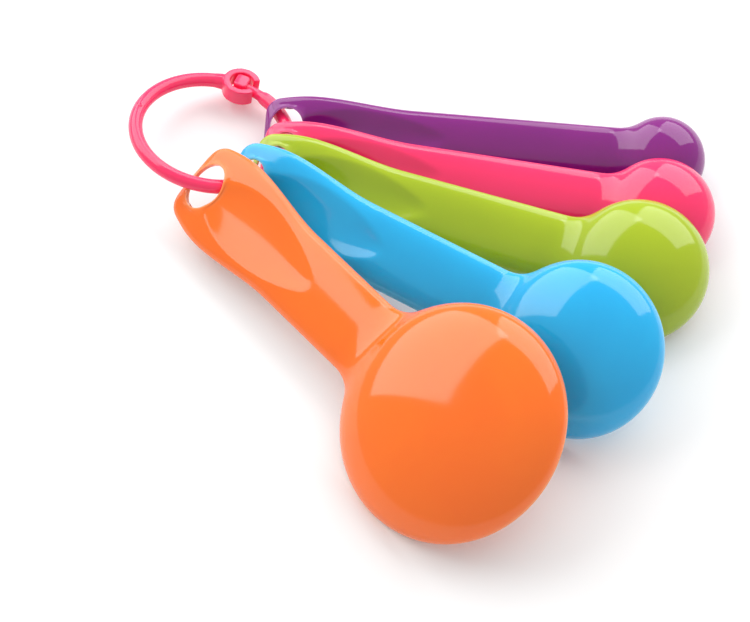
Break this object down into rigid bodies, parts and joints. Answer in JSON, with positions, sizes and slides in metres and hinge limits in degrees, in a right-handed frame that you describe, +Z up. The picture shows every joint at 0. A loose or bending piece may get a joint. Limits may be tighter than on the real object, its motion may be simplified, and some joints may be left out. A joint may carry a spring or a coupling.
{
  "type": "measuring cup set",
  "caption": "Nesting round measuring scoops with flat handles, fanned out on a split key ring with a snap clasp, lying bowls down.",
  "frame": {"origin": "on the table, under the middle of the set's bounding box", "axes": "+Z up out of the table the scoops lie on; +X along the smaller scoops from the ring to their bowls; +Y away from the largest scoop"},
  "size_m": [0.1416, 0.135, 0.0313],
  "materials": {
    "quarter_teaspoon": "glossy",
    "half_teaspoon": "glossy",
    "teaspoon": "glossy",
    "half_tablespoon": "glossy",
    "tablespoon": "glossy",
    "ring": "glossy"
  },
  "bodies": {
    "ring_stem": {"ring_stem_half": "ring"},
    "ring_collar": {"ring_collar_half": "ring"},
    "quarter_teaspoon": {"quarter_teaspoon_scoop": "quarter_teaspoon"},
    "half_teaspoon": {"half_teaspoon_scoop": "half_teaspoon"},
    "teaspoon": {"teaspoon_scoop": "teaspoon"},
    "half_tablespoon": {"half_tablespoon_scoop": "half_tablespoon"},
    "tablespoon": {"tablespoon_scoop": "tablespoon"}
  },
  "joints": [
    {"name": "tablespoon_fan", "type": "hinge", "parent": "ring_stem", "child": "tablespoon", "pos_m": [-0.05055, 0.04548, 0.0089], "axis": [0.1553, 0.1787, 0.9716], "range_deg": [-45, 0]},
    {"name": "half_tablespoon_fan", "type": "hinge", "parent": "ring_stem", "child": "half_tablespoon", "pos_m": [-0.05055, 0.04548, 0.0089], "axis": [0.1553, 0.1787, 0.9716], "range_deg": [-33.75, 0]},
    {"name": "teaspoon_fan", "type": "hinge", "parent": "ring_stem", "child": "teaspoon", "pos_m": [-0.05055, 0.04548, 0.0089], "axis": [0.1553, 0.1787, 0.9716], "range_deg": [-22.5, 0]},
    {"name": "half_teaspoon_fan", "type": "hinge", "parent": "ring_stem", "child": "half_teaspoon", "pos_m": [-0.05055, 0.04548, 0.0089], "axis": [0.1553, 0.1787, 0.9716], "range_deg": [-11.25, 0]},
    {"name": "quarter_teaspoon_swing", "type": "hinge", "parent": "ring_stem", "child": "quarter_teaspoon", "pos_m": [-0.03232, 0.04854, 0.00543], "axis": [-0.0657, -0.5034, 0.8616], "range_deg": [-15, 25]},
    {"name": "clasp_opening", "type": "hinge", "parent": "ring_stem", "child": "ring_collar", "pos_m": [-0.06911, 0.04548, 0.01187], "axis": [0.5756, -0.8157, 0.058], "range_deg": [0, 25], "stiffness_Nm_per_rad": 0.02}
  ],
  "couplings": [
    {"joint": "half_tablespoon_fan", "follows": "tablespoon_fan", "ratio": 0.75},
    {"joint": "teaspoon_fan", "follows": "tablespoon_fan", "ratio": 0.5},
    {"joint": "half_teaspoon_fan", "follows": "tablespoon_fan", "ratio": 0.25}
  ]
}
